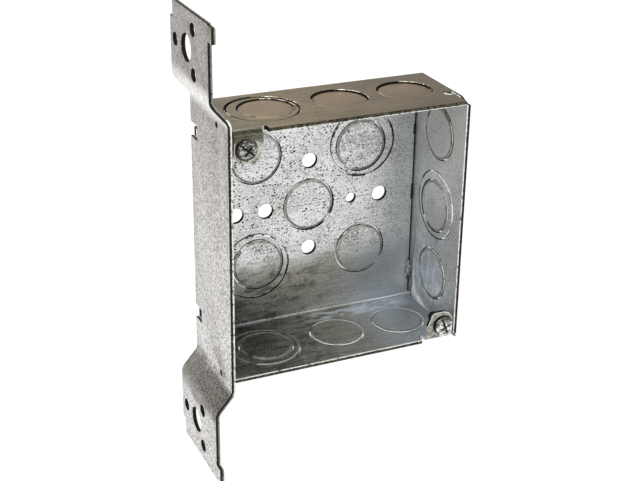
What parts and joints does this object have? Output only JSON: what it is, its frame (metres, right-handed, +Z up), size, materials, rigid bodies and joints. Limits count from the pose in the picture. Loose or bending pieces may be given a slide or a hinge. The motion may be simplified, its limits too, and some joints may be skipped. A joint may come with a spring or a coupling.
{
  "type": "new work outlet box",
  "caption": "Shallow open box of folded galvanised sheet for wiring, with conduit knock-outs in its walls, cover screws on corner ears and an offset stud bracket along its left side",
  "frame": {"origin": "middle of the outside face of the back", "axes": "+Z up along the stud bracket, +Y out of the back, the opening faces -Y, the bracket is on the -X side"},
  "size_m": [0.1052, 0.0453, 0.1834],
  "materials": {
    "galvanised_steel": "plain galvanised sheet with mill marks",
    "screw_steel": "zinc plated"
  },
  "bodies": {
    "root": {"body_channel": "galvanised_steel", "right_panel": "galvanised_steel", "stud_bracket_panel": "galvanised_steel", "upper_cover_screw": "screw_steel", "lower_cover_screw": "screw_steel"}
  },
  "joints": []
}
